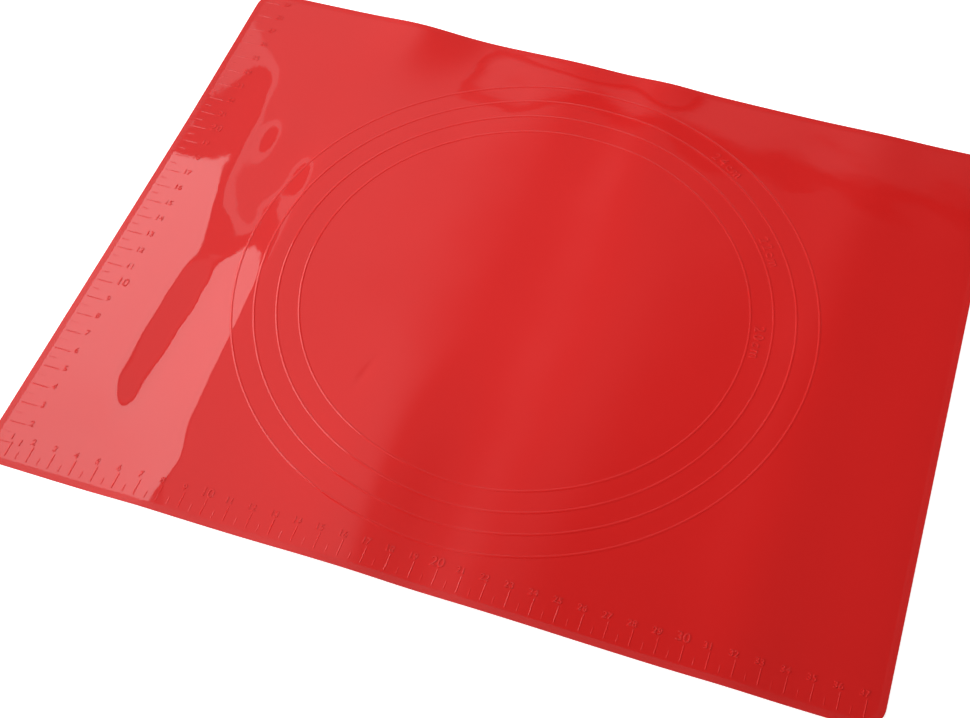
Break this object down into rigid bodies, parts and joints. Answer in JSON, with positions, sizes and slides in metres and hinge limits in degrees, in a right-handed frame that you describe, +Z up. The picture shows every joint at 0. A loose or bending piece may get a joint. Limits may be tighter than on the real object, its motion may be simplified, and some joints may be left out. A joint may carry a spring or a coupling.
{
  "type": "baking mat",
  "caption": "Thin flexible silicone sheet for rolling and baking dough, with a matte border rim, a moulded corner ruler and concentric rolling circles.",
  "frame": {"origin": "middle of the underside, where the mat lies on a worktop", "axes": "+X along the front ruler towards higher numbers, +Y from the front edge to the back edge, +Z up out of the marked face"},
  "size_m": [0.378, 0.298, 0.0011],
  "materials": {
    "glossy_silicone": "glossy translucent red silicone, smooth moulded face",
    "matte_silicone": "matte red silicone, finely grained moulded band"
  },
  "bodies": {
    "root": {"mat_sheet": "glossy_silicone", "border_rim": "matte_silicone", "corner_ruler": "glossy_silicone", "rolling_ring_1": "glossy_silicone", "rolling_ring_2": "glossy_silicone", "rolling_ring_3": "glossy_silicone", "rolling_ring_4": "glossy_silicone"}
  },
  "joints": []
}
